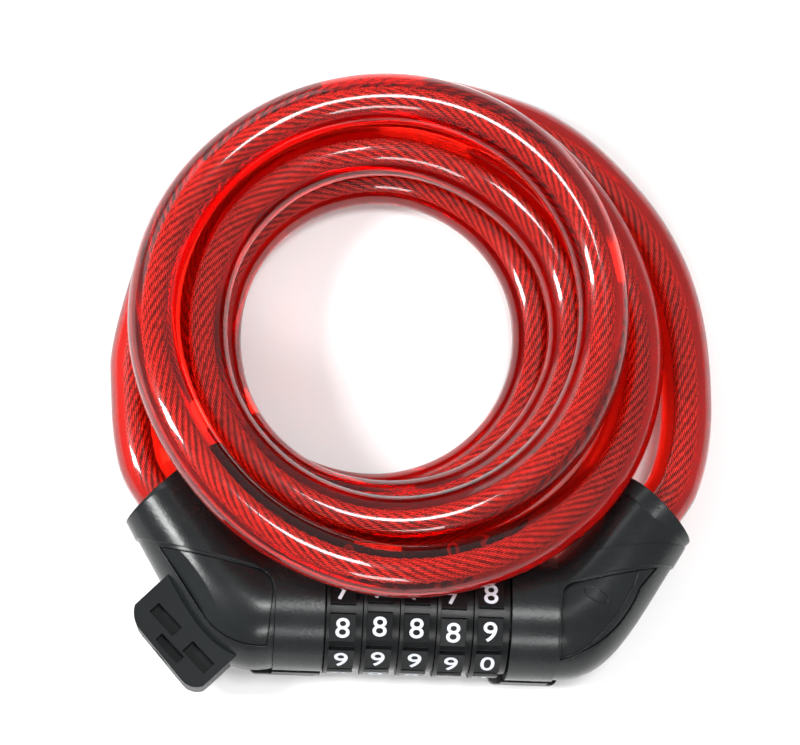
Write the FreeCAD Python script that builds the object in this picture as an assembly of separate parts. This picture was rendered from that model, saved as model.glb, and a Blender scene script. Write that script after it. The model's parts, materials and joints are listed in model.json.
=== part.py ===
"""Cable lock: a five-dial combination head and a long cable in a red jacket, coiled flat.

The barrel lies along X. The lock end is at +X and holds the core, the dials and one end of the cable.
The plug end is at -X and holds the locking pin, the bracket foot and the other end of the cable.
All lengths are in millimetres.
"""
import FreeCAD, Part

import math
import os

os.makedirs("parts", exist_ok=True)

# The barrel
AXIS_Y = -7.3  # the barrel's axis, so that the origin lies under the middle of the head
AXIS_Z = 14.5
DIAL_PITCH = 8.3
STACK_START = -18.9  # the first dial's outer side
DIAL_PHASES = (21.0, 18.5, 19.0, 22.0, 20.0)  # degrees of the facing number from straight up, to the front
NUMBERS = 10

# A dial: a thin rim, then the numbered pads, then a low shoulder
DIAL_LENGTH = 8.2
RIM_RADIUS, RIM_LENGTH = 14.0, 0.85
PAD_HEIGHT, PAD_LENGTH, PAD_HALF_ANGLE = 13.65, 5.75, 13.0
DIAL_BODY_RADIUS = 12.85
DIAL_BORE_RADIUS = 9.5

# Code rings, on the core and inside the dials
CODE_RING_LENGTH, CODE_RING_START = 7.0, 1.15
CODE_WALL = 2.0
CORE_RADIUS, CORE_BORE_RADIUS, CORE_END = 6.0, 3.05, 32.0
RING_CLEARANCE = 0.06
RELIEF_RADIUS = 7.6
SLOT_WIDTH = 2.8
WASHER_RADIUS, WASHER_LENGTH = 9.2, 1.0
DETENT_RADIUS = 0.8

# The locking pin, carried by the plug end
PIN_RADIUS, PIN_START, PIN_TIP = 3.0, -33.0, 22.0
FIN_HEIGHT, FIN_WIDTH, FIN_LENGTH = 7.3, 2.4, 2.4
FIN_OFFSET = 4.3
HOLDER_RADIUS = 9.5

# Housings. Each has a collar beside the dials and an elbow that turns to the cable
PLUG_COLLAR = (-30.4, -19.25, 13.6)  # start, end, radius
LOCK_COLLAR = (22.85, 33.6, 14.2)
SKID_DEPTH, SKID_TOP, SKID_REACH = 4.4, 2.8, 2.6
WEB_TOP = 7.0
SHELL_WALL = 2.2
SHELL_STEP = 0.4  # the elbow starts this much inside its collar
MOUTH_DISTANCE, MOUTH_RISE, MOUTH_ANGLE = 57.8, 26.2, 45.0
MOUTH_RADIUS, LIP_RADIUS, LIP_LENGTH = 9.9, 10.4, 4.0
GLAND_RADIUS, GLAND_LENGTH = 7.6, 6.0
PANEL_THICKNESS = 1.3
PANEL_STEP, PANEL_GAP = 0.3, 0.12  # an inset panel lies this far below the housing, this far from its edge
SLEEVE_PROUD = 0.4
# Outlines as distance from the middle and rise from the barrel's axis
PLUG_SLEEVE = (
    (30.4, 3.0), (31.0, 5.0), (32.6, 7.2), (35.4, 8.7), (58.4, 13.8), (63.5, 15.2), (68.0, 24.0), (56.0, 36.0),
    (40.0, 30.0), (30.4, 16.0),
)
LOCK_SLEEVE = (
    (33.6, -12.0), (34.0, 2.8), (34.7, 5.4), (36.5, 7.2), (45.6, 10.1), (52.0, 11.5), (56.8, 12.3), (63.0, 13.0),
    (64.0, 17.6), (56.2, 17.0), (45.3, 15.8), (35.7, 13.2), (33.6, 12.8),
)
LOCK_PANEL_FLOOR = (
    (30.0, 14.0), (52.4, 14.0), (52.2, 11.5), (50.9, 7.3), (47.8, 1.5), (44.3, -3.2), (40.8, -6.7), (37.6, -8.8),
    (33.9, -9.8), (30.0, -10.4),
)
DIMPLE = (42.0, 4.6, 3.0, 1.35, -26.0)  # place, half length, half width, turn
FACET = (50.4, 5.4, 38.0, 0.45)  # place, tilt from upright, depth
# Elbow sections between collar and mouth: distance from the middle, rise, turn, half width, half height
ELBOW = (
    (39.1, 2.1, 10.5, 14.5, 13.3),
    (43.9, 6.5, 17.5, 14.1, 12.8),
    (48.7, 12.8, 28.0, 12.3, 12.0),
    (53.0, 19.0, 36.5, 10.9, 11.0),
)

# The cable and what holds it
CABLE_RADIUS = 6.0
ROPE_RADIUS = 2.1
FERRULE_RADIUS, FERRULE_START, FERRULE_END = 3.8, 8.5, 22.0  # distances behind the mouth
COIL_CENTRE = (-5.0, 56.7)
COIL_INNER, COIL_OUTER = 27.0, 65.0
COIL_FRONT_TOP, COIL_BACK_TOP = 44.2, 38.4
COIL_GAP = 0.3
PLUG_WAY_BACK, PLUG_WAY_TOP = 27.2, 27.6  # room behind and over the plug end as it slides out
# Where the cable is not coiled: from each housing mouth to the coil, in the order it leaves the mouth
PLUG_ROUTE = (
    (-53.4, 14.5, 14.5),
    (-60.6, 21.7, 14.5),
    (-63.4, 32.0, 14.0),
    (-64.4, 42.5, 13.6),
    (-65.2, 53.2, 13.6),
)
LOCK_ROUTE = (
    (52.1, 13.2, 14.5),
    (59.9, 21.0, 14.5),
    (63.2, 30.0, 14.0),
    (64.8, 39.5, 12.8),
    (65.0, 50.2, 11.0),
    (64.2, 62.7, 9.2),
    (61.2, 75.4, 7.8),
    (55.2, 87.5, 6.8),
    (46.8, 97.9, 6.2),
    (36.4, 107.6, 6.0),
    (23.5, 114.3, 6.0),
)
CORNER_SHARE = 0.45  # share of the shorter run that a corner's arc takes

# Bracket foot on the plug end, on axes turned 45 degrees: along the housing, and out from it
FOOT_ORIGIN = (-57.0, -3.0)
FOOT_LENGTH, FOOT_REACH = 24.0, 10.8
FOOT_BOTTOM, FOOT_TOP = 7.5, 21.5
FOOT_ROUND_START = ((0.0, 7.0), (1.9, 9.0), (5.6, 10.0))
FOOT_ROUND_END = ((19.6, 10.8), (22.5, 10.0), (24.0, 8.2))
FOOT_POCKETS = ((3.4, 11.0, 2.8, 5.6), (15.0, 22.0, 3.0, 6.2), (9.0, 16.2, 6.9, 9.0))
FOOT_POCKET_DEPTH = 3.0
SCREW_RADIUS, SCREW_HEAD_RADIUS = 1.25, 2.3
# Housing screws, as distance from the middle and rise from the barrel's axis
SCREWS = ((44.2, 2.6), (37.4, -5.2))
SCREW_HEAD_BOTTOM, SCREW_HEAD_TOP = 3.0, 4.6
BOSS_RADIUS = 2.7

X_DIRECTION = FreeCAD.Vector(1, 0, 0)
Y_DIRECTION = FreeCAD.Vector(0, 1, 0)
Z_DIRECTION = FreeCAD.Vector(0, 0, 1)


def rod(radius, start, end, y=AXIS_Y, z=AXIS_Z):
    """A cylinder along X."""
    return Part.makeCylinder(radius, end - start, FreeCAD.Vector(start, y, z), X_DIRECTION)


def ring(outer, inner, start, end):
    """A tube about the barrel's axis."""
    return rod(outer, start, end).cut(rod(inner, start - 1, end + 1))


def block(x, y, z):
    """A box from three pairs of limits."""
    return Part.makeBox(x[1] - x[0], y[1] - y[0], z[1] - z[0], FreeCAD.Vector(x[0], y[0], z[0]))


def turned(shape, degrees):
    """A copy turned about the barrel's axis."""
    copy = shape.copy()
    copy.rotate(FreeCAD.Vector(0, AXIS_Y, AXIS_Z), X_DIRECTION, degrees)
    return copy


def joined(shapes):
    """One solid of shapes that overlap."""
    return shapes[0].fuse(list(shapes[1:])).removeSplitter()


def save(name, shape):
    shape.exportStep("parts/" + name + ".step")


# Dials and code rings


def fin_slot(start, end, height):
    """The space under the core's bore that the pin's fins run in."""
    half = SLOT_WIDTH / 2
    return block((start, end), (AXIS_Y - half, AXIS_Y + half), (AXIS_Z - height, AXIS_Z))


def dial(start, phase):
    """A number ring with ten flat pads."""
    half_width = PAD_HEIGHT * math.tan(math.radians(PAD_HALF_ANGLE))
    pad = block(
        (start + RIM_LENGTH, start + RIM_LENGTH + PAD_LENGTH),
        (AXIS_Y - half_width, AXIS_Y + half_width),
        (AXIS_Z + DIAL_BODY_RADIUS - 1.5, AXIS_Z + PAD_HEIGHT),
    )
    pads = [turned(pad, phase + 360.0 * i / NUMBERS) for i in range(NUMBERS)]
    body = rod(DIAL_BODY_RADIUS, start, start + DIAL_LENGTH)
    rim = rod(RIM_RADIUS, start, start + RIM_LENGTH)
    return joined([body, rim] + pads).cut(rod(DIAL_BORE_RADIUS, start - 1, start + DIAL_LENGTH + 1))


def code_ring(start):
    """A ring that blocks the fins except at its slot, with ten notches for the detent ball."""
    first, last = start + CODE_RING_START, start + CODE_RING_START + CODE_RING_LENGTH
    wall_end = first + CODE_WALL
    shape = ring(DIAL_BORE_RADIUS, CORE_RADIUS + RING_CLEARANCE, first, last)
    shape = shape.cut(rod(RELIEF_RADIUS, wall_end, last + 1))
    shape = shape.cut(fin_slot(first - 1, wall_end + 1, RELIEF_RADIUS))
    notch = rod(0.5, first - 1, wall_end + 1, z=AXIS_Z + CORE_RADIUS + 0.2)
    return shape.cut([turned(notch, 360.0 * i / NUMBERS) for i in range(NUMBERS)])


def dial_starts():
    return [STACK_START + i * DIAL_PITCH for i in range(len(DIAL_PHASES))]


# The core and what sits on it


def detent_holes(radius, low, high):
    """One upright post for each dial, in the core's upper wall."""
    middle = CODE_RING_START + CODE_WALL / 2
    return [
        Part.makeCylinder(radius, high - low, FreeCAD.Vector(start + middle, AXIS_Y, AXIS_Z + low))
        for start in dial_starts()
    ]


def barrel_core():
    shape = joined([rod(CORE_RADIUS, STACK_START, CORE_END), rod(HOLDER_RADIUS, LOCK_COLLAR[0], CORE_END)])
    shape = shape.cut(rod(CORE_BORE_RADIUS, STACK_START - 1, PIN_TIP + 1.5))
    shape = shape.cut(fin_slot(STACK_START - 1, PIN_TIP + 0.3, RELIEF_RADIUS))
    return shape.cut(detent_holes(DETENT_RADIUS + 0.05, 3.7, CORE_RADIUS + 1))


def washer(start):
    shape = ring(WASHER_RADIUS, CORE_RADIUS, start, start + WASHER_LENGTH)
    return shape.cut(fin_slot(start - 1, start + WASHER_LENGTH + 1, RELIEF_RADIUS))


def core_parts():
    save("barrel_core", barrel_core())
    starts = dial_starts()
    save("core_end_cap", washer(starts[0] + 0.05))
    save("spacer_washers", Part.makeCompound([washer(start + 0.05) for start in starts[1:]]))
    centre = CODE_RING_START + CODE_WALL / 2
    balls = [
        Part.makeSphere(DETENT_RADIUS, FreeCAD.Vector(start + centre, AXIS_Y, AXIS_Z + CORE_RADIUS - DETENT_RADIUS))
        for start in starts
    ]
    save("detent_balls", Part.makeCompound(balls))
    bottom, top = 3.7, CORE_RADIUS - 2 * DETENT_RADIUS
    posts = detent_holes(DETENT_RADIUS, bottom, top)
    bores = detent_holes(DETENT_RADIUS - 0.3, bottom - 1, top + 1)
    save("detent_springs", Part.makeCompound([post.cut(bore) for post, bore in zip(posts, bores)]))


def locking_pin():
    """The notched pin: a rod with one fin for each code ring."""
    chamfer = Part.makeCone(
        PIN_RADIUS, 1.6, 2.0, FreeCAD.Vector(PIN_TIP - 2.0, AXIS_Y, AXIS_Z), X_DIRECTION
    )
    fins = [
        block(
            (start + FIN_OFFSET, start + FIN_OFFSET + FIN_LENGTH),
            (AXIS_Y - FIN_WIDTH / 2, AXIS_Y + FIN_WIDTH / 2),
            (AXIS_Z - FIN_HEIGHT, AXIS_Z - 1),
        )
        for start in dial_starts()
    ]
    return joined([rod(PIN_RADIUS, PIN_START, PIN_TIP - 2.0), chamfer] + fins)


# Housings. side is +1 for the lock end and -1 for the plug end


def collar_of(side):
    return LOCK_COLLAR if side > 0 else PLUG_COLLAR


def section(distance, rise, turn, half_width, half_height, side):
    """An oval outline across the elbow."""
    angle = math.radians(turn)
    matrix = FreeCAD.Matrix(
        side * math.cos(angle), -side * math.sin(angle) * half_width, 0, side * distance,
        math.sin(angle), math.cos(angle) * half_width, 0, AXIS_Y + rise,
        0, 0, half_height, AXIS_Z,
        0, 0, 0, 1,
    )
    circle = Part.Circle(FreeCAD.Vector(0, 0, 0), X_DIRECTION, 1.0).toShape()
    return Part.Wire(circle.transformGeometry(matrix))


def elbow_sections(side, offset):
    """Every section of the elbow as numbers, moved out by offset."""
    start, end, radius = collar_of(side)
    distance = end if side > 0 else -start
    rows = [(distance, 0.0, 0.0, radius - SHELL_STEP, radius - SHELL_STEP)]
    rows += list(ELBOW)
    rows += [(MOUTH_DISTANCE, MOUTH_RISE, MOUTH_ANGLE, MOUTH_RADIUS, MOUTH_RADIUS)]
    return [row[:3] + (row[3] + offset, row[4] + offset) for row in rows]


def elbow(side, offset=0.0):
    rows = elbow_sections(side, offset)
    return Part.makeLoft([section(*row, side) for row in rows], True, False)


def mouth(side):
    """The mouth's centre and the direction in which the cable leaves."""
    angle = math.radians(MOUTH_ANGLE)
    centre = FreeCAD.Vector(side * MOUTH_DISTANCE, AXIS_Y + MOUTH_RISE, AXIS_Z)
    return centre, FreeCAD.Vector(side * math.cos(angle), math.sin(angle), 0)


def mouth_rod(side, radius, start, end):
    """A cylinder on the mouth's axis. start and end are distances out of the mouth."""
    centre, out = mouth(side)
    return Part.makeCylinder(radius, end - start, centre + out * start, out)


def screw_posts(side, radius, low, high):
    return [
        Part.makeCylinder(radius, high - low, FreeCAD.Vector(side * distance, AXIS_Y + rise, low))
        for distance, rise in SCREWS
    ]


def ferrule_pin(side):
    """A dowel through the ferrule's tail, held by both shells."""
    centre, out = mouth(side)
    place = centre - out * (FERRULE_END - 3)
    return Part.makeCylinder(1.2, 18.0, FreeCAD.Vector(place.x, place.y, AXIS_Z - 9.0))


def ferrule_post(side, radius):
    """The two blind bosses that hold the dowel."""
    centre, out = mouth(side)
    place = centre - out * (FERRULE_END - 3)
    low = Part.makeCylinder(radius, 9.0, FreeCAD.Vector(place.x, place.y, AXIS_Z - 13.0))
    high = Part.makeCylinder(radius, 9.0, FreeCAD.Vector(place.x, place.y, AXIS_Z + 4.0))
    return [low, high]


def shell(side):
    """The whole elbow housing before it is parted into an upper and a lower shell."""
    outer = elbow(side)
    cavity = elbow(side, -SHELL_WALL)
    bosses = screw_posts(side, BOSS_RADIUS, 0.0, 2 * AXIS_Z) + ferrule_post(side, 2.6)
    bosses = [boss.common(outer) for boss in bosses]
    nose = mouth_rod(side, GLAND_RADIUS + 1.2, -GLAND_LENGTH - 2.0, 0.0)
    lip = mouth_rod(side, LIP_RADIUS, -LIP_LENGTH, 0.0)
    shape = outer.cut(cavity)
    sleeve = elbow(side, SLEEVE_PROUD).cut(elbow(side, -1.0))
    sleeve = sleeve.common(prism(LOCK_SLEEVE if side > 0 else PLUG_SLEEVE, side, -5.0, 40.0))
    for piece in [nose, lip, sleeve] + bosses:
        shape = shape.fuse(piece)
    shape = shape.cut(mouth_rod(side, CABLE_RADIUS + 0.1, -GLAND_LENGTH - 3.0, 1.0))
    shape = shape.cut(mouth_rod(side, GLAND_RADIUS, -GLAND_LENGTH, 1.0))
    holes = screw_posts(side, SCREW_RADIUS, -1.0, AXIS_Z + 7.0)
    holes += screw_posts(side, SCREW_HEAD_RADIUS, -1.0, SCREW_HEAD_TOP)
    for hole in [ferrule_pin(side)] + holes:
        shape = shape.cut(hole)
    return shape


def prism(points, side, low, high):
    """An upright block over a closed outline. Points are distance from the middle and rise."""
    corners = [FreeCAD.Vector(side * x, AXIS_Y + y, low) for x, y in points]
    face = Part.Face(Part.makePolygon(corners + corners[:1]))
    return face.extrude(Z_DIRECTION * (high - low))


def arc_outline(parts, side, low, high, inset=0.0):
    """An upright block over an outline of lines and arcs: a point, or a middle point and an end point."""
    at = lambda p: FreeCAD.Vector(side * p[0], AXIS_Y + p[1], low)
    edges, here = [], parts[0]
    for part in parts[1:] + (parts[0],):
        if len(part) == 4:
            edges.append(Part.Arc(at(here), at(part[:2]), at(part[2:])).toShape())
            here = part[2:]
        else:
            edges.append(Part.LineSegment(at(here), at(part)).toShape())
            here = part
    face = Part.Face(Part.Wire(edges))
    return (face.makeOffset2D(-inset) if inset else face).extrude(Z_DIRECTION * (high - low))


PLUG_PANEL = (
    (57.2, 12.6),
    (35.9, 8.3),
    (32.3, 6.6, 30.9, 2.9),
    (31.9, -9.2),
    (40.0, -8.0, 46.4, -3.0),
)
LOCK_PANEL = (
    (56.6, 11.9),
    (37.0, 7.3),
    (34.9, 6.0, 34.3, 3.4),
    (34.3, -10.2),
    (46.5, -3.0, 52.6, 7.0),
)


def panel_space(side, inset=0.0, step=0.0):
    outline = arc_outline(LOCK_PANEL if side > 0 else PLUG_PANEL, side, AXIS_Z, AXIS_Z + 20.0, inset)
    outer = elbow(side, SLEEVE_PROUD if step == 0 else -step)
    return outer.cut(elbow(side, -PANEL_THICKNESS)).common(outline)


def surface_height(side, distance, rise):
    """Height of the elbow's upper surface over a point."""
    at = lambda z: FreeCAD.Vector(side * distance, AXIS_Y + rise, z)
    inside = Part.makeLine(at(AXIS_Z), at(AXIS_Z + 30)).common(elbow(side))
    return max(vertex.Z for vertex in inside.Vertexes)


def panel(side):
    """The inset panel: the plug end's has a flat facet along its outer side, the lock end's a lower floor."""
    shape = panel_space(side, PANEL_GAP, PANEL_STEP)
    if side > 0:
        x, y, length, width, turn = DIMPLE
        middle = FreeCAD.Vector(side * x, AXIS_Y + y, AXIS_Z)
        oval = Part.Ellipse(FreeCAD.Vector(), length, width).toShape()
        oval = Part.Face(Part.Wire([oval])).extrude(Z_DIRECTION * 20)
        oval.rotate(FreeCAD.Vector(), Z_DIRECTION, turn)
        oval.translate(middle)
        for region, depth in ((prism(LOCK_PANEL_FLOOR, side, AXIS_Z, 40.0), 0.55), (oval, 0.95)):
            shape = shape.cut(region.cut(elbow(side, -depth)))
        return shape
    x, y, tilt, depth = FACET
    tilt = math.radians(tilt)
    out = FreeCAD.Vector(side * 0.865, -0.503, 0)
    normal = out * math.sin(tilt) + Z_DIRECTION * math.cos(tilt)
    place = FreeCAD.Vector(side * x, AXIS_Y + y, surface_height(side, x, y)) - normal * (depth + PANEL_STEP)
    cutter = Part.makeBox(40, 40, 10, FreeCAD.Vector(-20, -20, 0))
    cutter.Placement = FreeCAD.Placement(place, FreeCAD.Rotation(Z_DIRECTION, normal)).multiply(cutter.Placement)
    return shape.cut(cutter)


def collar(side):
    """The band beside the dials, with two skids that the lock rests on."""
    start, end, radius = collar_of(side)
    low, high = (start - SKID_REACH, end + SKID_REACH) if side > 0 else (start - 2 * SKID_REACH, end - 0.1)
    shapes = [rod(radius, start, end)]
    for front in (-1, 1):
        near, far = front * (radius - SKID_DEPTH), front * (radius - 0.1)
        skid = block((low, high), (AXIS_Y + min(near, far), AXIS_Y + max(near, far)), (0.0, SKID_TOP))
        corners = [edge for edge in skid.Edges if abs(edge.Vertexes[0].Z - edge.Vertexes[1].Z) > 1]
        shapes.append(skid.makeFillet(1.6, corners))
        web = block((start, end), (AXIS_Y + min(near, far), AXIS_Y + max(near, far)), (SKID_TOP - 1, WEB_TOP))
        shapes.append(web)
    return joined(shapes).cut(rod(HOLDER_RADIUS, start - 6, end + 6))


def ferrule(side):
    shape = mouth_rod(side, FERRULE_RADIUS, -FERRULE_END, -FERRULE_START)
    shape = shape.cut(mouth_rod(side, ROPE_RADIUS, -FERRULE_END - 1, 0.0))
    return shape.cut(ferrule_pin(side))


def gland(side):
    shape = mouth_rod(side, GLAND_RADIUS, -GLAND_LENGTH, 0.0)
    return shape.cut(mouth_rod(side, CABLE_RADIUS + 0.1, -GLAND_LENGTH - 1, 1.0))


def screws(side):
    """Housing screws from below: a flat head and a shank."""
    shanks = screw_posts(side, SCREW_RADIUS, SCREW_HEAD_BOTTOM, AXIS_Z + 6.5)
    heads = screw_posts(side, SCREW_HEAD_RADIUS, SCREW_HEAD_BOTTOM, SCREW_HEAD_TOP)
    return Part.makeCompound([joined([shank, head]) for shank, head in zip(shanks, heads)])


def housing(side, name):
    """Every piece of one housing. The shells are returned with the part between them left out."""
    whole = shell(side)
    inset = panel(side)
    reach = block((-90, 90), (-60, 60), (AXIS_Z, 60))
    upper = whole.common(reach).cut(panel_space(side))
    lower = whole.cut(reach)
    save(name + "_panel", inset)
    save(name + "_collar", collar(side))
    save(name + "_gland", gland(side))
    save(name + "_ferrule", ferrule(side))
    save(name + "_ferrule_pin", ferrule_pin(side))
    save(name + "_screws", screws(side))
    return upper, lower


# The bracket foot


def foot_point(along, out, z):
    c = math.cos(math.radians(45))
    return FreeCAD.Vector(FOOT_ORIGIN[0] + c * (along - out), FOOT_ORIGIN[1] - c * (along + out), z)


def foot_block(along, out, z):
    corners = [
        foot_point(along[0], out[0], z[0]),
        foot_point(along[1], out[0], z[0]),
        foot_point(along[1], out[1], z[0]),
        foot_point(along[0], out[1], z[0]),
    ]
    face = Part.Face(Part.makePolygon(corners + corners[:1]))
    return face.extrude(Z_DIRECTION * (z[1] - z[0]))


def foot_screw():
    out = foot_point(0, 1, 0) - foot_point(0, 0, 0)
    centre = foot_point(FOOT_LENGTH / 2, FOOT_REACH - 3.5, AXIS_Z)
    head = Part.makeCylinder(SCREW_HEAD_RADIUS, 1.6, centre, -out)
    shank = Part.makeCylinder(SCREW_RADIUS, 13.0, centre, -out)
    driver = Part.makeCylinder(SCREW_HEAD_RADIUS + 0.1, 10.0, centre, out)
    return joined([head, shank]), driver


def bracket_foot(housing_shape):
    """The block that slides into the frame bracket, with a rounded outer face and open pockets."""
    depth = -4.0
    rim = [(0, depth), *FOOT_ROUND_START, *FOOT_ROUND_END, (FOOT_LENGTH, depth)]
    corners = [foot_point(along, out, FOOT_BOTTOM) for along, out in rim]
    edges = [
        Part.LineSegment(corners[0], corners[1]).toShape(),
        Part.Arc(corners[1], corners[2], corners[3]).toShape(),
        Part.LineSegment(corners[3], corners[4]).toShape(),
        Part.Arc(corners[4], corners[5], corners[6]).toShape(),
        Part.LineSegment(corners[6], corners[7]).toShape(),
        Part.LineSegment(corners[7], corners[0]).toShape(),
    ]
    shape = Part.Face(Part.Wire(edges)).extrude(Z_DIRECTION * (FOOT_TOP - FOOT_BOTTOM))
    pockets = []
    for start, end, near, far in FOOT_POCKETS:
        pockets.append(foot_block((start, end), (near, far), (FOOT_TOP - FOOT_POCKET_DEPTH, FOOT_TOP + 1)))
        pockets.append(foot_block((start, end), (near, far), (FOOT_BOTTOM - 1, FOOT_BOTTOM + FOOT_POCKET_DEPTH)))
    screw, driver = foot_screw()
    return shape.cut([housing_shape] + pockets).cut([screw, driver])


# The cable


def route_wire(points):
    """Straight runs joined by tangent arcs. Also gives the arcs' radii."""
    points = [FreeCAD.Vector(*point) for point in points]
    edges, radii, here = [], [], points[0]
    for before, corner, after in zip(points, points[1:], points[2:]):
        back, ahead = (before - corner), (after - corner)
        cut = CORNER_SHARE * min(back.Length, ahead.Length)
        back.normalize()
        ahead.normalize()
        half_turn = (math.pi - back.getAngle(ahead)) / 2
        radius = cut / math.tan(half_turn)
        start, end = corner + back * cut, corner + ahead * cut
        inward = back + ahead
        inward.normalize()
        middle = corner + inward * (radius / math.cos(half_turn) - radius)
        edges.append(Part.LineSegment(here, start).toShape())
        edges.append(Part.Arc(start, middle, end).toShape())
        radii.append(radius)
        here = end
    edges.append(Part.LineSegment(here, points[-1]).toShape())
    return Part.Wire(edges), radii


def tube(points, radius):
    wire, radii = route_wire(points)
    first = FreeCAD.Vector(*points[1]) - FreeCAD.Vector(*points[0])
    profile = Part.Wire(Part.Circle(FreeCAD.Vector(*points[0]), first, radius).toShape())
    solid = wire.makePipeShell([profile], True, False)
    expected = math.pi * radius * radius * wire.Length
    print("tube length %.1f, volume ratio %.4f, radii" % (wire.Length, solid.Volume / expected), end=" ")
    print(" ".join("%.0f" % value for value in radii))
    return solid


def cable_end(side, points):
    """The jacket from the housing to the coil, with the bare rope's tail in the ferrule."""
    tail = mouth_rod(side, ROPE_RADIUS, -FERRULE_END, -GLAND_LENGTH + 1)
    return joined([tube(points, CABLE_RADIUS), tail]).cut(ferrule_pin(side))


def elbow_shadow(side):
    """The elbow and the space under it, with a little room."""
    rows = elbow_sections(side, 1.0)
    inner, outer = [], []
    for distance, rise, turn, half_width, _ in rows:
        angle = math.radians(turn)
        inner.append((distance - half_width * math.sin(angle), rise + half_width * math.cos(angle)))
        outer.append((distance + half_width * math.sin(angle), rise - half_width * math.cos(angle)))
    below = prism(inner + outer[::-1], side, -1.0, AXIS_Z)
    lip = mouth_rod(side, LIP_RADIUS + 0.6, -LIP_LENGTH, 0.6)
    return [elbow(side, 1.0), below, lip]


def cable_coil():
    """The whole coil as one plain ring that arches over the barrel."""
    x, y = COIL_CENTRE
    height = COIL_FRONT_TOP + 5.0
    shape = Part.makeCylinder(COIL_OUTER, height, FreeCAD.Vector(x, y, 0.0))
    shape = shape.cut(Part.makeCylinder(COIL_INNER, height + 2, FreeCAD.Vector(x, y, -1.0)))
    slope = math.degrees(math.atan2(COIL_FRONT_TOP - COIL_BACK_TOP, 2 * COIL_OUTER))
    lid = block((-100, 100), (0, 200), (0, 40))
    lid.rotate(FreeCAD.Vector(0, 0, 0), X_DIRECTION, -slope)
    lid.translate(FreeCAD.Vector(0, y - COIL_OUTER - 1, COIL_FRONT_TOP))
    room = RIM_RADIUS + 0.6
    barrel = [
        rod(room, PLUG_COLLAR[0] - 3, LOCK_COLLAR[1] + 3),
        block((PLUG_COLLAR[0] - 3, LOCK_COLLAR[1] + 3), (AXIS_Y - room, AXIS_Y + room), (-1.0, AXIS_Z)),
    ]
    plug_way = block((-90, -40), (-40, PLUG_WAY_BACK), (-1.0, PLUG_WAY_TOP))
    grooves = [tube(PLUG_ROUTE, CABLE_RADIUS + COIL_GAP), tube(LOCK_ROUTE, CABLE_RADIUS + COIL_GAP)]
    shape = shape.cut([lid, plug_way] + barrel)
    for cutter in elbow_shadow(-1) + elbow_shadow(1) + grooves:
        shape = shape.cut(cutter)
    solids = sorted(shape.Solids, key=lambda solid: solid.Volume)
    print("coil solids", len(solids), [round(solid.Volume) for solid in solids])
    return solids[-1]


def main():
    for number, (start, phase) in enumerate(zip(dial_starts(), DIAL_PHASES), 1):
        save("dial_%d" % number, dial(start, phase))
        save("code_ring_%d" % number, code_ring(start))
    core_parts()

    lock_upper, lock_lower = housing(1, "lock")
    save("lock_shell_top", lock_upper)
    save("lock_shell_bottom", lock_lower)

    plug_upper, plug_lower = housing(-1, "plug")
    screw = foot_screw()[0]
    save("plug_shell_top", plug_upper.cut(screw))
    save("plug_shell_bottom", plug_lower.cut(screw))
    save("bracket_foot", bracket_foot(elbow(-1)))
    save("bracket_foot_screw", screw)

    holder = ring(HOLDER_RADIUS, PIN_RADIUS, PIN_START, PLUG_COLLAR[1])
    reach = HOLDER_RADIUS - 0.3
    cross = Part.makeCylinder(1.2, 2 * reach, FreeCAD.Vector(-26.5, AXIS_Y - reach, AXIS_Z), Y_DIRECTION)
    save("pin_holder", holder.cut(cross))
    save("locking_pin", locking_pin().cut(cross))
    save("holder_pin", cross)

    save("cable_plug_end", cable_end(-1, PLUG_ROUTE))
    save("cable_lock_end", cable_end(1, LOCK_ROUTE))
    save("cable_coil", cable_coil())


main()
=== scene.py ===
"""A five-dial cable lock, lying with its cable coiled beside the barrel."""

import json
import math

import bmesh
import bpy
from mathutils import Matrix, Vector


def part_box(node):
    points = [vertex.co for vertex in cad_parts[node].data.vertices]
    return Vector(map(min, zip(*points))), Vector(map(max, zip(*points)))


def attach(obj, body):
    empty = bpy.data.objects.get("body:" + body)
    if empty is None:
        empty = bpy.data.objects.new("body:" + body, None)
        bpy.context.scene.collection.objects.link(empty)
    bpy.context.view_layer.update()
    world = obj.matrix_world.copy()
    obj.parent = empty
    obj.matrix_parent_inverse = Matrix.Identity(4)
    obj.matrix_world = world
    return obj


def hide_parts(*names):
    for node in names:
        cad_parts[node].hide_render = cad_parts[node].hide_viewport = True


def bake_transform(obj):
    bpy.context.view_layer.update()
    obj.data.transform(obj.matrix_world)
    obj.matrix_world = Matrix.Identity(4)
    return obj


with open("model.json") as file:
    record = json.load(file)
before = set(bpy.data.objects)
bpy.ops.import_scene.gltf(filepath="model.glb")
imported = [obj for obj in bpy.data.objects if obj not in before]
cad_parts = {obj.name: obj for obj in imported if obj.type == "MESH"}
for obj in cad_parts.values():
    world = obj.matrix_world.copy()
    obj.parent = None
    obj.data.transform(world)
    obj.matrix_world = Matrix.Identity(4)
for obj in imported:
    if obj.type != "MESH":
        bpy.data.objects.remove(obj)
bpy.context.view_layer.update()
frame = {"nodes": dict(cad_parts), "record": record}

bl_info = {
    "name": "Cable Lock",
    "version": (1, 0, 0),
    "blender": (4, 5, 0),
    "location": "View3D > Sidebar > Cable Lock",
    "description": "Builds a number-dial cable lock with its coiled cable",
    "category": "Object",
}

DIALS = ["dial_%d" % number for number in range(1, 6)]
# Middle of the first dial's bore gives the barrel's axis
_low, _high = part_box("dial_1")
AXIS = Vector((0.0, (_low.y + _high.y) / 2, (_low.z + _high.z) / 2))
NUMBERS = 10  # round a dial
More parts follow.
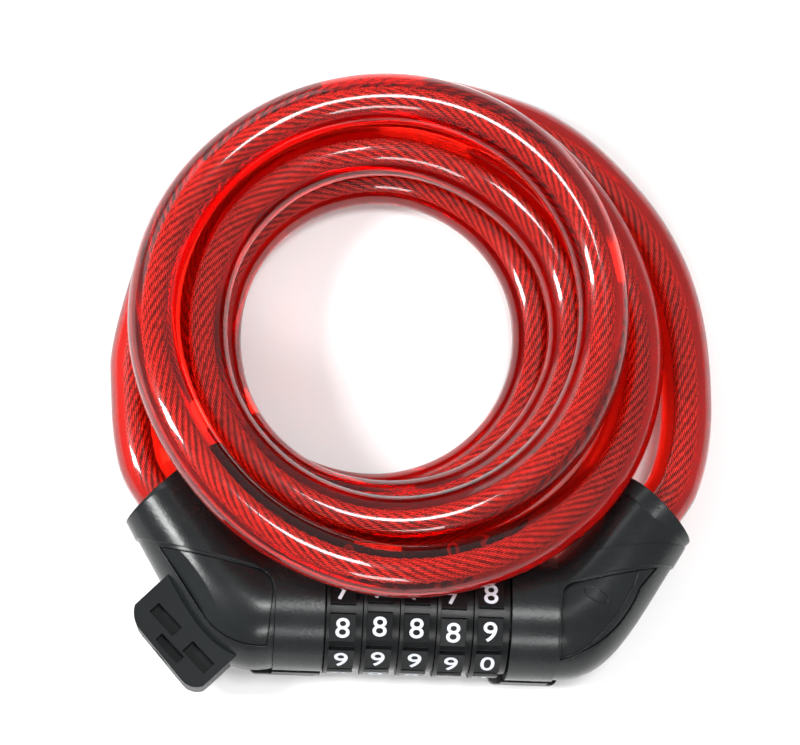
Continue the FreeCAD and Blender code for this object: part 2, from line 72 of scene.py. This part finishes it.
# How far each dial is turned towards the front, and the number there
DIAL_SETTINGS = ((21.0, 8), (18.5, 8), (19.0, 8), (22.0, 8), (20.0, 9))
PAD_FACE = 0.01365  # from the axis
PAD_START, PAD_END = 0.00085, 0.0066  # from a dial's -X face
FIGURE_POINT = 1.38  # a font size of 1 draws a number 1 / 1.38 high
FIGURE_BOLDER, FIGURE_WIDER = 0.008, 1.10

# The cable's line, in the order it leaves the plug end. A coil station is a radius and a height, every
# 30 degrees, clockwise from the barrel's side as seen from above.
PLUG_ROUTE = (
    (-0.0534, 0.0145, 0.0145),
    (-0.0606, 0.0217, 0.0145),
    (-0.0634, 0.0320, 0.0140),
    (-0.0644, 0.0425, 0.0136),
    (-0.0652, 0.0532, 0.0136),
)
LOCK_ROUTE = (
    (0.0521, 0.0132, 0.0145),
    (0.0599, 0.0210, 0.0145),
    (0.0632, 0.0300, 0.0140),
    (0.0648, 0.0395, 0.0128),
    (0.0650, 0.0502, 0.0110),
    (0.0642, 0.0627, 0.0092),
    (0.0612, 0.0754, 0.0078),
    (0.0552, 0.0875, 0.0068),
    (0.0468, 0.0979, 0.0062),
    (0.0364, 0.1076, 0.0060),
    (0.0235, 0.1143, 0.0060),
)
COIL_CENTRE = (-0.005, 0.0567)
STATION = math.radians(30)
SPLINE_PULL = 1.035  # a control point lies this much further out than its station
FIRST_STATION = 4  # of the first turn
TURNS = (  # millimetres
    ((57, 18.5), (56, 19), (55.5, 19.5), (56.5, 18.5), (57, 13.5), (58.3, 13), (58.3, 19), (57, 30.5)),
    (
        (56.8, 36), (55.3, 37.5), (54.3, 38), (55.5, 33.5), (55.8, 30.5), (54.8, 31),
        (53.8, 32), (52.8, 30.5), (50.5, 28), (47.5, 26.5), (45.5, 28), (45, 29.5),
    ),
    (
        (45, 29.5), (45.2, 30), (45.2, 30), (44.5, 28), (45, 25), (45, 23.5),
        (44, 22.5), (43.5, 18), (43.5, 16.5), (42, 16), (39.7, 16.5), (39.5, 18),
    ),
    (
        (39.5, 18.5), (41.2, 19), (42, 18.5), (41.5, 16.5), (42, 12.5), (42, 9),
        (41.3, 7), (39, 6), (36.7, 6), (34.6, 6), (33.6, 6), (34, 6),
    ),
    ((35.8, 6), (38.5, 6), (43, 6), (48.5, 6), (53.5, 6), (58, 6), (61.5, 6)),
)

POINTS_PER_RUN = 12
TAIL_END = 5  # the piece beside the plug end stops after this many runs
JACKET_SIDES = 28
STRANDS, STRAND_SIDES, CORE_SIDES = 9, 10, 8
STRAND_SQUEEZE = 1.04  # strands press into each other a little
WIRES, WIRES_PER_LAY = 9.0, 30.0  # round a strand, and crossing its outside in one lay of the rope


class LockSizes(bpy.types.PropertyGroup):
    """Sizes of the pieces"""

    cable: bpy.props.FloatProperty(
        name="Cable", description="Outside diameter of the cable's jacket", default=0.012, unit="LENGTH"
    )
    rope: bpy.props.FloatProperty(
        name="Rope", description="Outside diameter of the rope in the jacket", default=0.0042, unit="LENGTH"
    )
    lay: bpy.props.FloatProperty(
        name="Lay", description="Length in which a strand goes once round", default=0.0270, unit="LENGTH"
    )
    cable_length: bpy.props.FloatProperty(
        name="Cable length", description="Length from mouth to mouth", default=1.467, unit="LENGTH"
    )
    figure: bpy.props.FloatProperty(
        name="Figure", description="Height of a number on a dial", default=0.0047, unit="LENGTH"
    )
    figure_proud: bpy.props.FloatProperty(
        name="Figure proud", description="How far a number stands off", default=0.00012, unit="LENGTH"
    )


class LockColours(bpy.types.PropertyGroup):
    """Colours of the finishes"""

    jacket: bpy.props.FloatVectorProperty(
        name="Jacket", description="Clear plastic round the rope", subtype="COLOR", size=4, min=0, max=1,
        default=(0.80, 0.012, 0.005, 1.0),
    )
    rope: bpy.props.FloatVectorProperty(
        name="Rope", description="Steel wire of the rope", subtype="COLOR", size=4, min=0, max=1,
        default=(0.85, 0.80, 0.70, 1.0),
    )
    housing: bpy.props.FloatVectorProperty(
        name="Housing", description="Moulded plastic of the two ends", subtype="COLOR", size=4, min=0, max=1,
        default=(0.008, 0.0095, 0.010, 1.0),
    )
    dial: bpy.props.FloatVectorProperty(
        name="Dial", description="Moulded plastic of the dials", subtype="COLOR", size=4, min=0, max=1,
        default=(0.005, 0.0055, 0.006, 1.0),
    )
    number: bpy.props.FloatVectorProperty(
        name="Number", description="Paint of the numbers", subtype="COLOR", size=4, min=0, max=1,
        default=(0.56, 0.58, 0.64, 1.0),
    )


def sizes():
    return bpy.context.scene.lock_sizes


def colours():
    return bpy.context.scene.lock_colours


# Shader maths


class Value:
    """A shader socket, with arithmetic written as Math nodes."""

    def __init__(self, finish, socket):
        self.finish, self.socket = finish, socket

    def maths(self, operation, *values):
        return self.finish.node("Math", {"operation": operation}, dict(enumerate(values or (self,))))

    def __add__(self, other):
        return self.maths("ADD", self, other)

    def __sub__(self, other):
        return self.maths("SUBTRACT", self, other)

    def __rsub__(self, other):
        return self.maths("SUBTRACT", other, self)

    def __mul__(self, other):
        return self.maths("MULTIPLY", self, other)

    def __pow__(self, other):
        return self.maths("POWER", self, other)

    def __abs__(self):
        return self.maths("ABSOLUTE")

    __radd__, __rmul__ = __add__, __mul__


class Finish:
    """A material in the making."""

    def __init__(self, name):
        self.material = bpy.data.materials.new(name)
        self.material.use_nodes = True
        self.tree = self.material.node_tree
        self.tree.nodes.clear()

    def node(self, kind, settings=None, inputs=None, output=0):
        made = self.tree.nodes.new("ShaderNode" + kind)
        for key, value in (settings or {}).items():
            if key == "stops":
                ramp = made.color_ramp
                while len(ramp.elements) < len(value):
                    ramp.elements.new(0.5)
                for element, (place, colour) in zip(ramp.elements, value):
                    element.position, element.color = place, colour
            else:
                setattr(made, key, value)
        for key, value in (inputs or {}).items():
            if isinstance(value, Value):
                self.tree.links.new(value.socket, made.inputs[key])
            else:
                made.inputs[key].default_value = value
        return Value(self, made.outputs[output]) if made.outputs else None

    def place(self):
        """The point on the piece, in metres."""
        return self.node("TexCoord", output="Object")

    def noise(self, place, scale, detail=3.0, roughness=0.5):
        return self.node(
            "TexNoise", {}, {"Vector": place, "Scale": scale, "Detail": detail, "Roughness": roughness}, "Fac"
        )

    def ramp(self, value, *stops):
        return self.node("ValToRGB", {"stops": stops}, {"Fac": value}, "Color")

    def bump(self, painted_light_and_grime, strength, distance, normal=None):
        inputs = {"Height": painted_light_and_grime, "Strength": strength, "Distance": distance}
        if normal is not None:
            inputs["Normal"] = normal
        return self.node("Bump", {}, inputs)

    def surface(self, **inputs):
        named = {key.replace("_", " "): value for key, value in inputs.items()}
        return self.node("BsdfPrincipled", {}, named)

    def done(self, shader):
        self.node("OutputMaterial", {}, {"Surface": shader})
        return self.material


def shade(colour, factor):
    return (colour[0] * factor, colour[1] * factor, colour[2] * factor, 1.0)


def moulded_plastic(name, colour, roughness, grain, sheen, edge=0.0003):
    """Moulded plastic: fine grain, a slow change of sheen, light scuffing all over, rounded edges."""
    finish = Finish(name)
    place = finish.place()
    fine = finish.noise(place, 1500.0, 2.0)
    slow = finish.noise(place, 70.0, 4.0, 0.6)
    scuff = finish.noise(place, 420.0, 6.0, 0.75)
    rounded = finish.node("Bevel", {"samples": 4}, {"Radius": edge})
    shell = finish.bump(fine, grain, 0.00006, rounded)
    tone = finish.ramp(slow + (scuff - 0.5) * 0.35, (0.30, shade(colour, 0.82)), (0.72, shade(colour, 1.25)))
    shader = finish.surface(
        Base_Color=tone,
        Roughness=(slow - 0.5) * 0.16 + (scuff - 0.5) * 0.10 + roughness,
        Normal=shell,
        Specular_IOR_Level=sheen,
    )
    return finish.done(shader)


def number_paint():
    finish = Finish("number_paint")
    place = finish.place()
    speck = finish.noise(place, 2600.0, 3.0)
    colour = colours().number[:]
    tone = finish.ramp(speck, (0.30, shade(colour, 0.88)), (0.60, shade(colour, 1.0)))
    return finish.done(finish.surface(Base_Color=tone, Roughness=speck * 0.15 + 0.38))


def metal(name, colour, roughness, along=(1.0, 1.0, 1.0)):
    """Bare metal with fine tool marks."""
    finish = Finish(name)
    place = finish.node("Mapping", {}, {"Vector": finish.place(), "Scale": along})
    marks = finish.noise(place, 2200.0, 4.0, 0.7)
    tone = finish.ramp(marks, (0.25, shade(colour, 0.80)), (0.75, shade(colour, 1.0)))
    shader = finish.surface(
        Base_Color=tone,
        Metallic=1.0,
        Roughness=marks * 0.2 + (roughness - 0.1),
        Normal=finish.bump(marks, 0.2, 0.00003),
    )
    return finish.done(shader)


def rope_wire():
    """Stranded steel wire, with painted shade in its valleys and painted highlights on its crests. The
    piece's own map runs along the rope and round a strand from its outside.
    """
    finish = Finish("rope_wire")
    wire_map = finish.node("UVMap", {"uv_map": "wire"})
    along = finish.node("SeparateXYZ", {}, {"Vector": wire_map}, "X")
    around = finish.node("SeparateXYZ", {}, {"Vector": wire_map}, "Y")
    crest = abs(around - 0.5) * 2.0
    wires = (around * WIRES + along * WIRES_PER_LAY).maths("FRACT")
    ridge = 1.0 - abs((wires - 0.5) * 2.0) ** 2.0
    grime = finish.noise(finish.place(), 900.0, 3.0, 0.7)
    colour = colours().rope[:]
    # Painted light: the colour is lighter on each strand's outer crest and on the wire ridges (painted
    # highlight, up to 1.7 times the steel's colour) and near black in the valleys between strands and wires
    # (painted shade). The grime noise varies it at random.
    painted_light_and_grime = ridge * 0.34 + crest * 0.48 + grime * 0.42
    tone = finish.ramp(
        painted_light_and_grime, (0.52, shade(colour, 0.04)), (0.78, shade(colour, 0.45)), (0.96, shade(colour, 1.7)),
    )
    shader = finish.surface(
        Base_Color=tone,
        Metallic=0.35,
        Roughness=grime * 0.2 + 0.25,
        Normal=finish.bump(ridge, 1.0, 0.00012),
    )
    return finish.done(shader)


def clear_jacket():
    """Clear coloured soft plastic."""
    finish = Finish("clear_jacket")
    place = finish.place()
    waves = finish.noise(place, 90.0, 2.0)
    haze = finish.noise(place, 700.0, 4.0, 0.7)
    shader = finish.surface(
        Base_Color=colours().jacket[:],
        Roughness=(haze - 0.5) * 0.05 + 0.05,
        Transmission_Weight=1.0,
        IOR=1.38,
        Coat_Weight=0.15,
        Coat_Roughness=0.25,
        Coat_IOR=1.6,
        Normal=finish.bump(waves, 0.10, 0.0004),
    )
    return finish.done(shader)


# Making pieces


def piece(name, mesh, material, body, smooth=True):
    """A finished piece: its place is in its mesh, and it rides a body."""
    made = bpy.data.objects.new(name, mesh)
    bpy.context.scene.collection.objects.link(made)
    mesh.materials.clear()
    mesh.materials.append(material)
    for polygon in mesh.polygons:
        polygon.use_smooth = smooth
        polygon.material_index = 0
    if body:
        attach(made, body)
    return made


def give(node, material):
    """A CAD node keeps its shape and takes a finish."""
    mesh = frame["nodes"][node].data
    if not mesh.materials:
        mesh.materials.append(material)
    for index in range(len(mesh.materials)):
        mesh.materials[index] = material


def drawn_mesh(data):
    """The mesh that a curve or a text draws. The curve itself goes."""
    holder = bpy.data.objects.new("holder", data)
    bpy.context.scene.collection.objects.link(holder)
    bpy.context.view_layer.update()
    mesh = bpy.data.meshes.new_from_object(holder.evaluated_get(bpy.context.evaluated_depsgraph_get()))
    bpy.data.objects.remove(holder)
    bpy.data.curves.remove(data)
    return mesh


def line_points(points):
    """Points along the smooth line that these control points draw."""
    data = bpy.data.curves.new("guide", "CURVE")
    data.dimensions = "3D"
    spline = data.splines.new("NURBS")
    spline.points.add(len(points) - 1)
    for control, point in zip(spline.points, points):
        control.co = (*point, 1.0)
    spline.order_u = 3
    spline.use_endpoint_u = True
    spline.resolution_u = POINTS_PER_RUN
    mesh = drawn_mesh(data)
    found = [vertex.co.copy() for vertex in mesh.vertices]
    bpy.data.meshes.remove(mesh)
    return found


def run_length(points):
    return sum((b - a).length for a, b in zip(points, points[1:]))


def tube_mesh(name, points, radius):
    """A round tube along the given points, with closed ends."""
    data = bpy.data.curves.new(name, "CURVE")
    data.dimensions = "3D"
    data.bevel_depth = radius
    data.bevel_resolution = JACKET_SIDES // 4 - 1
    data.use_fill_caps = True
    data.twist_mode = "MINIMUM"
    spline = data.splines.new("POLY")
    spline.points.add(len(points) - 1)
    for control, point in zip(spline.points, points):
        control.co = (*point, 1.0)
    mesh = drawn_mesh(data)
    mesh.name = name
    shape = bmesh.new()
    shape.from_mesh(mesh)
    bmesh.ops.remove_doubles(shape, verts=shape.verts, dist=1e-6)
    bmesh.ops.recalc_face_normals(shape, faces=shape.faces)
    shape.to_mesh(mesh)
    shape.free()
    return mesh


def carried(points):
    """A side direction at each point, carried along the line without twisting about it."""
    side, found = None, []
    for index, point in enumerate(points):
        ahead = (points[min(index + 1, len(points) - 1)] - points[max(index - 1, 0)]).normalized()
        side = (ahead.orthogonal() if side is None else side - ahead * side.dot(ahead)).normalized()
        found.append((side.copy(), ahead.cross(side)))
    return found


def cable_points():
    """The cable's control points from the plug end's mouth to the lock end's."""
    points = [Vector(point) for point in PLUG_ROUTE]
    for turn, stations in enumerate(TURNS):
        first = FIRST_STATION if turn == 0 else 0
        for index, (radius, painted_light_and_grime) in enumerate(stations, first):
            angle, reach = index * STATION, radius * 0.001 * SPLINE_PULL
            points.append(
                Vector((
                    COIL_CENTRE[0] - reach * math.sin(angle),
                    COIL_CENTRE[1] - reach * math.cos(angle),
                    painted_light_and_grime * 0.001,
                ))
            )
    return points + [Vector(point) for point in reversed(LOCK_ROUTE)]


def strand_mesh(name, points, start, rope, lay):
    """The rope's strands round a run of the cable's line, laid right-handed, with a core.

    The run begins at a length of start along the cable. The map runs along the rope in turns of the lay,
    and round a strand from its outermost side.
    """
    strand_radius = rope / 2 / (1 + 1 / math.sin(math.pi / STRANDS)) * STRAND_SQUEEZE
    ring_radius = rope / 2 - strand_radius
    sides = carried(points)
    travelled, at = start, []
    for index, point in enumerate(points):
        if index:
            travelled += (point - points[index - 1]).length
        at.append(travelled)
    shape = bmesh.new()
    wire_map = shape.loops.layers.uv.new("wire")

    def cover(rings, turns):
        count = len(rings[0])
        for index, (one, two) in enumerate(zip(rings, rings[1:])):
            for step in range(count):
                after = (step + 1) % count
                face = shape.faces.new((one[step], one[after], two[after], two[step]))
                corners = ((step, index), (step + 1, index), (step + 1, index + 1), (step, index + 1))
                for loop, (round_step, row) in zip(face.loops, corners):
                    loop[wire_map].uv = (turns[row], round_step / count)
        shape.faces.new(rings[0][::-1])
        shape.faces.new(rings[-1])

    slope = 2 * math.pi * ring_radius / lay
    for strand in range(STRANDS):
        rings = []
        for point, (side, other), distance in zip(points, sides, at):
            angle = 2 * math.pi * (strand / STRANDS + distance / lay)
            out = side * math.cos(angle) + other * math.sin(angle)
            ahead = side.cross(other)
            across = (other * math.cos(angle) - side * math.sin(angle) - ahead * slope).normalized()
            rings.append([
                shape.verts.new(
                    point + out * (ring_radius + strand_radius * math.cos(turn))
                    + across * (strand_radius * math.sin(turn))
                )
                for turn in (2 * math.pi * step / STRAND_SIDES for step in range(STRAND_SIDES))
            ])
        cover(rings, [distance / lay for distance in at])
    core = [
        [
            shape.verts.new(point + (side * math.cos(turn) + other * math.sin(turn)) * ring_radius)
            for turn in (2 * math.pi * step / CORE_SIDES for step in range(CORE_SIDES))
        ]
        for point, (side, other) in zip(points, sides)
    ]
    cover(core, [0.5] * len(points))
    bmesh.ops.recalc_face_normals(shape, faces=shape.faces)
    mesh = bpy.data.meshes.new(name)
    shape.to_mesh(mesh)
    shape.free()
    return mesh


def figure_mesh(text, painted_light_and_grime, proud):
    """A bold number, flat on its back, centred, a little proud of its pad."""
    data = bpy.data.curves.new("figure", "FONT")
    data.body = text
    data.size = painted_light_and_grime * FIGURE_POINT
    data.offset = painted_light_and_grime * FIGURE_BOLDER
    data.align_x, data.align_y = "CENTER", "CENTER"
    data.extrude = proud
    data.resolution_u = 4
    mesh = drawn_mesh(data)
    low = [min(vertex.co[i] for vertex in mesh.vertices) for i in (0, 1)]
    high = [max(vertex.co[i] for vertex in mesh.vertices) for i in (0, 1)]
    wide = Matrix.Diagonal((FIGURE_WIDER, 1.0, 1.0, 1.0))
    mesh.transform(wide @ Matrix.Translation((-(low[0] + high[0]) / 2, -(low[1] + high[1]) / 2, 0)))
    return mesh


class CABLELOCK_OT_stage(bpy.types.Operator):
    """Pale floor, soft lights and the camera"""

    bl_idname = "cable_lock.stage"
    bl_label = "Stage"

    def execute(self, context):
        scene = context.scene
        floor_mesh = bpy.data.meshes.new("floor")
        shape = bmesh.new()
        bmesh.ops.create_grid(shape, x_segments=1, y_segments=1, size=3.0)
        bmesh.ops.translate(shape, verts=shape.verts, vec=(0, 0, -0.0001))
        shape.to_mesh(floor_mesh)
        shape.free()
        floor = bpy.data.objects.new("floor", floor_mesh)
        scene.collection.objects.link(floor)
        finish = Finish("floor_paper")
        paper = finish.noise(finish.place(), 30.0)
        tone = finish.ramp(paper, (0.3, (0.86, 0.86, 0.86, 1)), (0.7, (0.88, 0.88, 0.88, 1)))
        floor_mesh.materials.append(finish.done(finish.surface(Base_Color=tone, Roughness=0.9)))

        world = bpy.data.worlds.new("soft_room")
        world.use_nodes = True
        world.node_tree.nodes["Background"].inputs["Color"].default_value = (1.0, 1.0, 1.0, 1.0)
        world.node_tree.nodes["Background"].inputs["Strength"].default_value = 0.64
        scene.world = world

        aim = Vector((0.0, 0.05, 0.015))
        for name, place, size, power in (
            ("wall_back_left", (-0.75, 1.05, 0.62), (1.1, 0.5), 4.5),
            ("softbox_over", (0.10, 0.05, 1.00), (0.20, 0.20), 4.5),
            ("softbox_left", (-0.62, 0.02, 0.62), (0.16, 0.24), 8.0),
            ("softbox_front", (0.15, -0.80, 0.75), (0.35, 0.20), 4.0),
        ):
            data = bpy.data.lights.new(name, "AREA")
            data.shape, data.size, data.size_y, data.energy = "RECTANGLE", size[0], size[1], power
            lamp = bpy.data.objects.new(name, data)
            lamp.location = place
            lamp.rotation_euler = (aim - Vector(place)).to_track_quat("-Z", "Y").to_euler()
            scene.collection.objects.link(lamp)

        data = bpy.data.cameras.new("camera")
        data.lens, data.sensor_width = 115.4, 36.0
        data.clip_start, data.clip_end = 0.02, 20.0
        camera = bpy.data.objects.new("camera", data)
        eye, target = Vector((-0.03836, -0.07264, 0.60092)), Vector((-0.00317, 0.04934, 0.0145))
        back = (eye - target).normalized()
        right = Vector((0, 1, 0)).cross(back).normalized()
        roll = Matrix.Rotation(math.radians(1.62), 3, "Z")
        turn = Matrix((right, back.cross(right), back)).transposed() @ roll
        camera.matrix_world = Matrix.Translation(eye) @ turn.to_4x4()
        scene.collection.objects.link(camera)
        scene.camera = camera
        scene.view_settings.view_transform = "Standard"
        return {"FINISHED"}


class CABLELOCK_OT_cable(bpy.types.Operator):
    """The cable: its clear jacket and the steel rope inside"""

    bl_idname = "cable_lock.cable"
    bl_label = "Cable"

    def execute(self, context):
        size = sizes()
        points = line_points(cable_points())
        cut = TAIL_END * POINTS_PER_RUN
        jacket, wire = clear_jacket(), rope_wire()
        made = {}
        for name, first, last in (("plug_end", 0, cut + 1), ("coil", cut, len(points))):
            part, start = points[first:last], run_length(points[:first + 1])
            skin_mesh = tube_mesh("jacket_" + name, part, size.cable / 2)
            rope_mesh = strand_mesh("rope_" + name, part, start, size.rope, size.lay)
            skin = piece("jacket_" + name, skin_mesh, jacket, None)
            rope = piece("rope_" + name, rope_mesh, wire, None)
            made[name] = (skin, rope, part)
        tail, tail_rope, tail_points = made["plug_end"]
        coil, coil_rope, coil_points = made["coil"]
        for item in (tail, tail_rope):
            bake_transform(item)
        for item in (coil, coil_rope):
            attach(item, "lock_end")
        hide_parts("cable_plug_end")
        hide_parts("cable_coil", "cable_lock_end")
        tail_length = run_length(tail_points)
        return {"FINISHED"}


class CABLELOCK_OT_dials(bpy.types.Operator):
    """The numbers on the five dials, and the dials' finish"""

    bl_idname = "cable_lock.dials"
    bl_label = "Dials"

    def execute(self, context):
        paint = number_paint()
        size = sizes()
        black = colours().dial[:]
        plastic = moulded_plastic("dial_plastic", black, roughness=0.30, grain=0.25, sheen=0.14, edge=0.00018)
        figures = [figure_mesh(str(number), size.figure, size.figure_proud) for number in range(NUMBERS)]
        for name, (phase, facing) in zip(DIALS, DIAL_SETTINGS):
            give(name, plastic)
            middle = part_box(name)[0].x + (PAD_START + PAD_END) / 2
            shape = bmesh.new()
            for step in range(NUMBERS):
                figure = figures[(facing + step) % NUMBERS].copy()
                figure.transform(
                    Matrix.Translation((middle, AXIS.y, AXIS.z))
                    @ Matrix.Rotation(math.radians(phase + 360 / NUMBERS * step), 4, "X")
                    @ Matrix.Translation((0, 0, PAD_FACE))
                )
                shape.from_mesh(figure)
                bpy.data.meshes.remove(figure)
            mesh = bpy.data.meshes.new("numbers_" + name)
            shape.to_mesh(mesh)
            shape.free()
            piece("numbers_" + name, mesh, paint, name, smooth=False)
        for figure in figures:
            bpy.data.meshes.remove(figure)
        return {"FINISHED"}


class CABLELOCK_OT_finishes(bpy.types.Operator):
    """Finishes of the housings and of the metal pieces inside"""

    bl_idname = "cable_lock.finishes"
    bl_label = "Finishes"

    def execute(self, context):
        black = colours().housing[:]
        housing = moulded_plastic("housing_plastic", black, roughness=0.27, grain=0.45, sheen=0.24)
        inset = moulded_plastic("inset_plastic", black, roughness=0.25, grain=0.3, sheen=0.26)
        by_slot = {
            "housing": housing,
            "panel": inset,
            "brass": metal("turned_brass", (0.72, 0.55, 0.25), 0.3, (0.2, 1, 1)),
            "cast_zinc": metal("cast_zinc", (0.60, 0.60, 0.62), 0.45),
            "steel": metal("bright_steel", (0.62, 0.62, 0.63), 0.3, (0.2, 1, 1)),
        }
        for subpart in frame["record"]["subparts"]:
            if subpart["material_slot"] in by_slot:
                give(subpart["node"], by_slot[subpart["material_slot"]])
        give("bracket_foot", moulded_plastic("foot_plastic", black, roughness=0.42, grain=0.3, sheen=0.07))
        return {"FINISHED"}


class CABLELOCK_PT_panel(bpy.types.Panel):
    """Builds the lock piece by piece"""

    bl_idname = "CABLELOCK_PT_panel"
    bl_label = "Cable Lock"
    bl_space_type = "VIEW_3D"
    bl_region_type = "UI"
    bl_category = "Cable Lock"

    def draw(self, context):
        for group in (context.scene.lock_sizes, context.scene.lock_colours):
            for name in group.bl_rna.properties.keys():
                if name not in ("rna_type", "name"):
                    self.layout.prop(group, name)
        for operator in STEPS:
            self.layout.operator(operator.bl_idname)


STEPS = (CABLELOCK_OT_stage, CABLELOCK_OT_cable, CABLELOCK_OT_finishes, CABLELOCK_OT_dials)
CLASSES = (LockSizes, LockColours, *STEPS, CABLELOCK_PT_panel)


def register():
    for item in CLASSES:
        bpy.utils.register_class(item)
    bpy.types.Scene.lock_sizes = bpy.props.PointerProperty(type=LockSizes)
    bpy.types.Scene.lock_colours = bpy.props.PointerProperty(type=LockColours)


def unregister():
    del bpy.types.Scene.lock_sizes
    del bpy.types.Scene.lock_colours
    for item in reversed(CLASSES):
        bpy.utils.unregister_class(item)


def main():
    register()
    bpy.ops.cable_lock.stage()
    bpy.ops.cable_lock.cable()
    bpy.ops.cable_lock.finishes()
    bpy.ops.cable_lock.dials()


if __name__ == "__main__":
    main()
